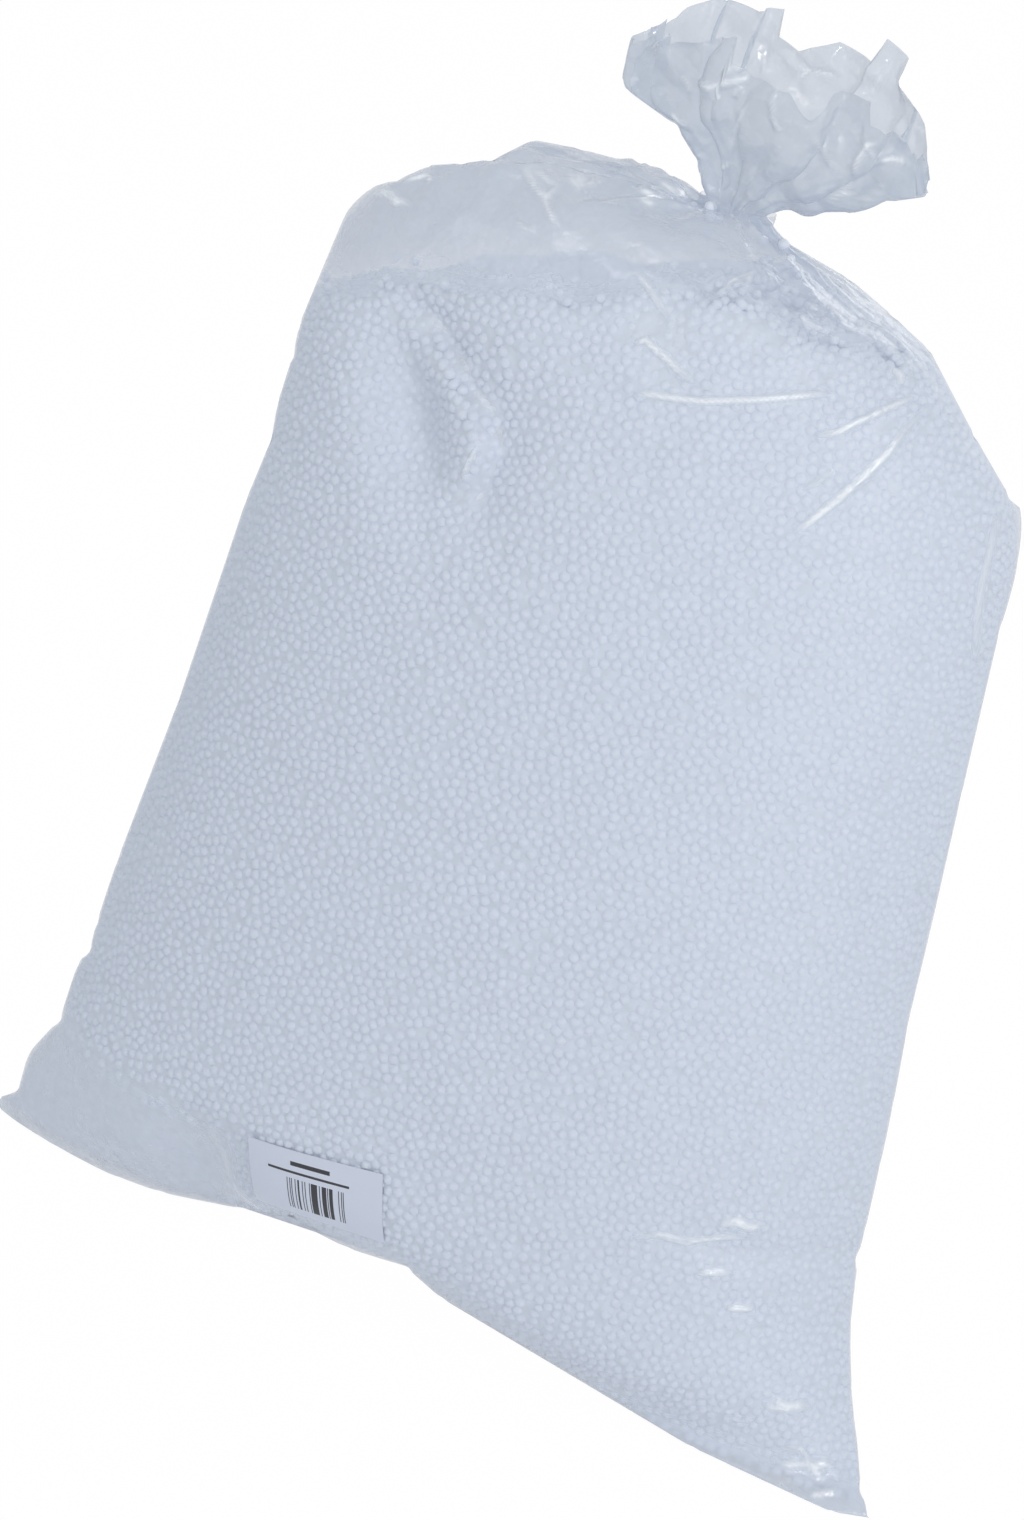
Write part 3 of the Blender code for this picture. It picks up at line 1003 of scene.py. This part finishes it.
def fill_rows(inset, cut):
    """Rows of the beads' outer surface, further in by inset, up to their sloping top less cut."""
    at = positions([(FILL_START, FILL_END, FILL_ROWS)])
    pleated = bag_rows(at, angles(FILL_COLUMNS), fine=True)
    half_pleat = FILL_COLUMNS // PLEATS // 2
    even = (np.roll(pleated, half_pleat, 1) + np.roll(pleated, -half_pleat, 1) + 2 * pleated) / 4
    share = ramp(at, SHOULDER_RING, 1)[:, None, None]
    rows = pulled(pleated + share * (even - pleated), BODY_OUTLINES)
    normal = outward(rows)
    rows = rows - normal * (hollows(rows, normal) + inset)[..., None]
    rows[..., 2] = np.minimum(rows[..., 2], fill_level(rows) - cut)
    middle = np.broadcast_to(rows[-1].mean(axis=0), rows[-1:].shape)
    return np.concatenate([rows, middle])


def surface_triangles(rows):
    """Corner points of the triangles of a closed grid, its bottom end included."""
    here, there = rows[:-1], rows[1:]
    here_next, there_next = np.roll(here, -1, 1), np.roll(there, -1, 1)
    sides = [np.stack([here, here_next, there_next], -2), np.stack([here, there_next, there], -2)]
    ring = rows[0]
    mirror = ring[::-1]
    end = [np.stack([ring, np.roll(ring, -1, 0), np.roll(mirror, -1, 0)], -2)]
    corners = [part.reshape(-1, 3, 3) for part in sides + end]
    return np.concatenate(corners)


def tree_of(points):
    tree = KDTree(len(points))
    for index, point in enumerate(points):
        tree.insert(point, index)
    tree.balance()
    return tree


SCATTER_TRIES = 5.0  # for each place in a tight layer
TIGHT_AREA = 0.866  # that a place takes in such a layer, as a share of its square
SCATTER_GAP = 0.78
RELAX_STEP = 0.45


def scattered(corners, spacing, rng):
    """Points at least about three quarters of spacing apart, all over the triangles."""
    cross = np.cross(corners[:, 1] - corners[:, 0], corners[:, 2] - corners[:, 0])
    area = np.linalg.norm(cross, axis=1) / 2
    wanted = int(SCATTER_TRIES * area.sum() / (TIGHT_AREA * spacing**2))
    chosen = rng.choice(len(area), wanted, p=area / area.sum())
    a, b = np.sqrt(rng.random(wanted)), rng.random(wanted)
    weights = np.stack([1 - a, a * (1 - b), a * b], 1)
    points = np.einsum("ij,ijk->ik", weights, corners[chosen])
    tree = tree_of(points)
    free = np.ones(wanted, bool)
    kept = []
    for index, point in enumerate(points):
        if free[index]:
            kept.append(index)
            for _, other, _ in tree.find_range(point, SCATTER_GAP * spacing):
                free[other] = False
    return points[kept]


def relaxed(points, surface, spacing, rounds):
    """Pushes crowded points apart along the surface. Returns them with their nearest distances."""
    for _ in range(rounds):
        tree = tree_of(points)
        moved = np.empty_like(points)
        room = np.empty(len(points))
        for index, point in enumerate(points):
            here = Vector(point)
            push = Vector((0, 0, 0))
            nearest = spacing
            for other, other_index, distance in tree.find_range(here, spacing):
                if other_index != index and distance > 0:
                    push += (here - other) * ((spacing - distance) / distance)
                    nearest = min(nearest, distance)
            moved[index] = surface.find_nearest(here + RELAX_STEP * push)[0]
            room[index] = nearest
        points = moved
    return points, room


def empty_corner(points):
    """How empty the loose film is at each point: 1 in the low left corner in front, 0 elsewhere."""
    x, z = points[:, 0], points[:, 2]
    return ramp(z, 0.088, -0.020) * ramp(x, -0.090, -0.018) * (points[:, 1] < 0)


def kept_inside(points, radii, film):
    """Moves the beads that reach the film back inside it."""
    here, there = film[:-1], film[1:]
    here_next, there_next = np.roll(here, -1, 1), np.roll(there, -1, 1)
    quads = np.stack([here, here_next, there_next, there], 2).reshape(-1, 3)
    faces = np.arange(len(quads)).reshape(-1, 4)
    surface = BVHTree.FromPolygons([Vector(place) for place in quads], faces.tolist())
    moved = points.copy()
    for index, (point, radius) in enumerate(zip(points, radii)):
        here = Vector(point)
        for _ in range(2):
            place, normal, _, _ = surface.find_nearest(here)
            reach = (here - place).dot(normal) + radius + BEAD_GAP
            here -= normal * max(reach, 0.0)
        moved[index] = here
    return moved


def one_bead():
    """The shape that every bead repeats: an eight-sided ball, split once and rounded."""
    deselect_all()
    bpy.ops.mesh.primitive_uv_sphere_add(segments=4, ring_count=2, radius=1.0)
    obj = new_piece("one_bead")
    edit_all(
        obj,
        lambda: bpy.ops.mesh.subdivide(number_cuts=1),
        lambda: bpy.ops.transform.tosphere(value=1.0),
        lambda: bpy.ops.mesh.quads_convert_to_tris(),
    )
    corners = np.array([tuple(vertex.co) for vertex in obj.data.vertices])
    faces = np.array([tuple(face.vertices) for face in obj.data.polygons])
    bpy.data.objects.remove(obj)
    return corners / np.linalg.norm(corners, axis=1, keepdims=True), faces


def bead_piece(name, shape, centres, radii, rng, material):
    """Copies of one bead, each turned its own way, joined as one piece."""
    corners, faces = shape
    turns = np.array([Euler(turn).to_matrix() for turn in rng.random((len(centres), 3)) * 2 * math.pi])
    places = np.einsum("nij,kj->nki", turns, corners) * radii[:, None, None] + centres[:, None, :]
    links = faces[None] + (np.arange(len(centres)) * len(corners))[:, None, None]
    mesh = bpy.data.meshes.new(name)
    mesh.from_pydata(places.reshape(-1, 3), [], links.reshape(-1, 3))
    mesh.shade_smooth()
    obj = bpy.data.objects.new(name, mesh)
    bpy.context.scene.collection.objects.link(obj)
    finished(obj, material, "bead_fill")
    return obj


def stuck_places(count, rng):
    """Places inside the empty film of the shoulders, most of them near the fill, set in from the film along
    its normal.
    """
    at = rng.uniform(*STUCK_RINGS, count * 3)
    angle = rng.uniform(math.pi, 2 * math.pi, count * 3) + rng.normal(0, 0.35, count * 3)
    centres = []
    for ring, turn in zip(at, angle):
        rows = bag_rows(np.array([ring - 0.02, ring, ring + 0.02]), turn + np.array([-0.01, 0, 0.01]))
        around = rows[1, 2] - rows[1, 0]
        up = rows[2, 1] - rows[0, 1]
        normal = np.cross(around, up)
        normal /= max(np.linalg.norm(normal), 1e-9)
        place = rows[1, 1]
        above = place[2] - fill_level(place)
        reach = STUCK_REACH[int(place[0] > BODY_OFFSET)]
        if above > 0.001 and rng.random() < math.exp(-above / reach):
            centres.append(place - normal * STUCK_DEPTH)
    return np.array(centres[:count])


class BEADBAG_OT_beads(bpy.types.Operator):
    """Fill the bag with beads: a skin of separate beads over a core"""

    bl_idname = "beadbag.beads"
    bl_label = "Beads"

    def execute(self, context):
        settings = context.scene.beadbag_beads
        rng = np.random.default_rng(7)
        size = settings.size
        outer = fill_rows(FILM + FILL_GAP + size / 2, size / 2)
        corners = surface_triangles(outer)
        flat = corners.reshape(-1, 3)
        triangles = np.arange(len(flat)).reshape(-1, 3)
        surface = BVHTree.FromPolygons([Vector(p) for p in flat], triangles.tolist())
        points = scattered(corners, size, rng)
        points, room = relaxed(points, surface, size * BEAD_SPACING, 5)
        least, most = BEAD_RADII
        radii = np.clip(room * BEAD_ROOM, least * size, most * size)
        radii = radii * rng.uniform(*BEAD_VARIETY, len(room))
        under = points[:, 2] < size  # these lie flat on the floor, where the core alone is enough
        shown = (rng.random(len(points)) > empty_corner(points)) & ~under
        points, radii = points[shown], radii[shown]
        film = body_surface(context.scene.beadbag_film.crumple)
        points = kept_inside(points, radii, film)
        points[:, 2] = np.maximum(points[:, 2], radii + FILM)
        material = bead_material(settings.colour)
        shape = one_bead()
        order = np.argsort(np.arctan2(points[:, 1], points[:, 0] - BODY_OFFSET))
        for number, part in enumerate(np.array_split(order, BEAD_PIECES), 1):
            bead_piece(f"beads_{number}", shape, points[part], radii[part], rng, material)
        stuck = stuck_places(settings.stuck, rng)
        stuck = kept_inside(stuck, np.full(len(stuck), size / 2), film)
        stuck_radii = np.full(len(stuck), size * STUCK_RADIUS)
        bead_piece("beads_stuck", shape, stuck, stuck_radii, rng, material)
        core = tube("bead_core", fill_rows(FILM + FILL_GAP + CORE_INSET * size, CORE_CUT * size))
        edit_all(core, close_ends)
        finished(core, core_material(settings.colour), "bead_fill")
        return {"FINISHED"}


def close_ends():
    """Closes the open ends of a tube in edit mode."""
    bpy.ops.mesh.select_all(action="DESELECT")
    bpy.ops.mesh.select_non_manifold()
    bpy.ops.mesh.fill_holes(sides=0)
    bpy.ops.mesh.select_all(action="SELECT")
    bpy.ops.mesh.normals_make_consistent(inside=False)


class BEADBAG_OT_label(bpy.types.Operator):
    """Stick the paper label low on the front"""

    bl_idname = "beadbag.label"
    bl_label = "Label"

    def execute(self, context):
        settings = context.scene.beadbag_label
        low, high = (Vector(corner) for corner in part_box("label"))
        centre_x, centre_z = (low.x + high.x) / 2, (low.z + high.z) / 2
        film = bpy.data.objects["film_foot"]
        surface = BVHTree.FromObject(film, context.evaluated_depsgraph_get())
        deselect_all()
        bpy.ops.mesh.primitive_grid_add(x_subdivisions=64, y_subdivisions=34, size=1)
        obj = new_piece("paper_label")
        for vertex in obj.data.vertices:
            right, up = vertex.co.x * settings.width, vertex.co.y * settings.height
            x = centre_x + right * math.cos(settings.tilt) - up * math.sin(settings.tilt)
            z = centre_z + right * math.sin(settings.tilt) + up * math.cos(settings.tilt)
            ahead = Vector((x, -BODY_DEPTH, z))
            place, normal, _, _ = surface.ray_cast(ahead, Vector((0, 1, 0)))
            if place is None or place.y > 0:
                place, normal, _, _ = surface.find_nearest(ahead)
            vertex.co = place + normal * 0.0002
        modifier = obj.modifiers.new("ease", "SMOOTH")
        modifier.factor = 0.5
        modifier.iterations = 4
        apply_all(obj)
        obj.data.shade_smooth()
        solid_wall(obj, 0.00015, offset=1)
        material = label_material(settings.paper, settings.ink)
        finished(obj, material, "label")
        return {"FINISHED"}


class BEADBAG_OT_tie(bpy.types.Operator):
    """Wind the strip of clear tape round the gathered neck"""

    bl_idname = "beadbag.tie"
    bl_label = "Neck tie"

    def execute(self, context):
        settings = context.scene.beadbag_film
        centre = (TIE_LOW + TIE_HIGH) / 2
        deselect_all()
        bpy.ops.mesh.primitive_cylinder_add(
            vertices=96, radius=1.0, depth=TIE_HIGH.z - TIE_LOW.z, end_fill_type="NOTHING", location=centre
        )
        obj = new_piece("tape_tie")
        bpy.ops.object.transform_apply(location=True, rotation=True, scale=True)
        edit_all(obj, lambda: bpy.ops.mesh.subdivide(number_cuts=5))
        half_x, half_y = NECK_WIDTH / 2 + TAPE_GAP, NECK_DEPTH / 2 + TAPE_GAP
        for vertex in obj.data.vertices:
            offset = vertex.co - centre
            angle = math.atan2(offset.y, offset.x)
            cos, sin = math.cos(angle), math.sin(angle)
            pinch = TAPE_PINCH * math.cos(PLEATS * angle)
            crease = TAPE_CREASE * noise.noise(Vector((9 * cos, 9 * sin, offset.z * 700)))
            vertex.co.x = centre.x + (half_x + pinch + crease) * cos
            vertex.co.y = centre.y + (half_y + pinch + crease) * sin
        obj.data.shade_smooth()
        solid_wall(obj, 0.0003, offset=1)
        finished(obj, film_material(settings.colour, 0.40, 0.11, "clear tape"), "neck_tie")
        return {"FINISHED"}


def aim(obj, place, target, roll=0.0):
    """Puts a lamp or camera at place, looking at target, turned about its line of sight."""
    turn = (target - place).to_track_quat("-Z", "Y").to_matrix().to_4x4()
    obj.matrix_world = Matrix.Translation(place) @ turn @ Matrix.Rotation(roll, 4, "Z")


def lamp(name, place, size, power, colour):
    """A rectangular lamp, aimed at the bag."""
    deselect_all()
    bpy.ops.object.light_add(type="AREA")
    obj = bpy.context.active_object
    obj.name = name
    obj.data.shape = "RECTANGLE"
    obj.data.size, obj.data.size_y = size
    obj.data.energy = power
    obj.data.color = colour
    aim(obj, Vector(place), Vector(LAMP_TARGET))


class BEADBAG_OT_stage(bpy.types.Operator):
    """Set the pale floor, the soft light and the camera"""

    bl_idname = "beadbag.stage"
    bl_label = "Stage"

    def execute(self, context):
        settings = context.scene.beadbag_stage
        self.make_floor(settings)
        self.make_world(context)
        for name, place, size, share, colour in LAMPS:
            lamp(name, place, size, share * settings.light, colour)
        self.make_camera(context)
        context.scene.view_settings.view_transform = "Standard"
        context.scene.cycles.transparent_max_bounces = 48
        return {"FINISHED"}

    def make_floor(self, settings):
        deselect_all()
        bpy.ops.mesh.primitive_plane_add(size=12, location=(0, 0, -0.0005))
        floor = new_piece("floor")
        bpy.ops.object.transform_apply(location=True, rotation=True, scale=True)
        nodes = Nodes(bpy.data.materials.new("floor"))
        plain = nodes.node(
            "ShaderNodeBsdfPrincipled", {}, {"Base Color": rgba(settings.floor), "Roughness": 0.8}
        )
        white = nodes.node("ShaderNodeEmission", {}, {"Color": (1, 1, 1, 1), "Strength": 1.0})
        seen = FLOOR_GLOW + FLOOR_SEEN * self.seen_directly(nodes)
        mixed = nodes.node("ShaderNodeMixShader", {}, {0: seen, 1: plain, 2: white})
        nodes.node("ShaderNodeOutputMaterial", {}, {"Surface": mixed})
        floor.data.materials.append(nodes.owner)

    def seen_directly(self, nodes):
        """1 for rays from the camera, and for those that a gloss or a clear surface sends on."""
        camera = nodes.node("ShaderNodeLightPath", {}, {}, "Is Camera Ray")
        rays = camera.socket.node.outputs
        glossy, clear = Value(nodes, rays["Is Glossy Ray"]), Value(nodes, rays["Is Transmission Ray"])
        return nodes.clamp(camera + glossy + clear)

    def make_world(self, context):
        world = bpy.data.worlds.new("studio")
        context.scene.world = world
        nodes = Nodes(world)
        white = nodes.node("ShaderNodeBackground", {}, {"Color": (1, 1, 1, 1), "Strength": 1.0})
        soft = nodes.node("ShaderNodeBackground", {}, {"Color": SKY_COLOUR, "Strength": SKY_STRENGTH})
        mixed = nodes.node("ShaderNodeMixShader", {}, {0: self.seen_directly(nodes), 1: soft, 2: white})
        nodes.node("ShaderNodeOutputWorld", {}, {"Surface": mixed})

    def make_camera(self, context):
        place = VIEW_TARGET + VIEW_DISTANCE * Vector(view_axes()[2])
        deselect_all()
        bpy.ops.object.camera_add()
        camera = context.active_object
        camera.name = "camera"
        camera.data.lens = LENS
        camera.data.sensor_width = 36
        aim(camera, place, VIEW_TARGET, VIEW_ROLL)
        context.scene.camera = camera


class BEADBAG_PT_panel(bpy.types.Panel):
    """The bag's pieces and their settings"""

    bl_label = "Bead Bag"
    bl_space_type = "VIEW_3D"
    bl_region_type = "UI"
    bl_category = "Bead Bag"

    def draw(self, context):
        layout = self.layout
        for name, operator in PIECES:
            box = layout.box()
            settings = getattr(context.scene, name)
            for prop in settings.__annotations__:
                box.prop(settings, prop)
            box.operator(operator.bl_idname)
        layout.operator(BEADBAG_OT_tie.bl_idname)


PIECES = (
    ("beadbag_film", BEADBAG_OT_film),
    ("beadbag_beads", BEADBAG_OT_beads),
    ("beadbag_label", BEADBAG_OT_label),
    ("beadbag_stage", BEADBAG_OT_stage),
)
SETTINGS = {
    "beadbag_film": BEADBAG_FilmSettings,
    "beadbag_beads": BEADBAG_BeadSettings,
    "beadbag_label": BEADBAG_LabelSettings,
    "beadbag_stage": BEADBAG_StageSettings,
}
CLASSES = (
    *SETTINGS.values(),
    BEADBAG_OT_film,
    BEADBAG_OT_beads,
    BEADBAG_OT_label,
    BEADBAG_OT_tie,
    BEADBAG_OT_stage,
    BEADBAG_PT_panel,
)


def register():
    for made in CLASSES:
        bpy.utils.register_class(made)
    for name, group in SETTINGS.items():
        setattr(bpy.types.Scene, name, bpy.props.PointerProperty(type=group))


def unregister():
    for name in SETTINGS:
        delattr(bpy.types.Scene, name)
    for made in reversed(CLASSES):
        bpy.utils.unregister_class(made)


def main():
    register()
    bpy.ops.beadbag.stage()
    bpy.ops.beadbag.film()
    bpy.ops.beadbag.beads()
    bpy.ops.beadbag.label()
    bpy.ops.beadbag.tie()


if __name__ == "__main__":
    main()
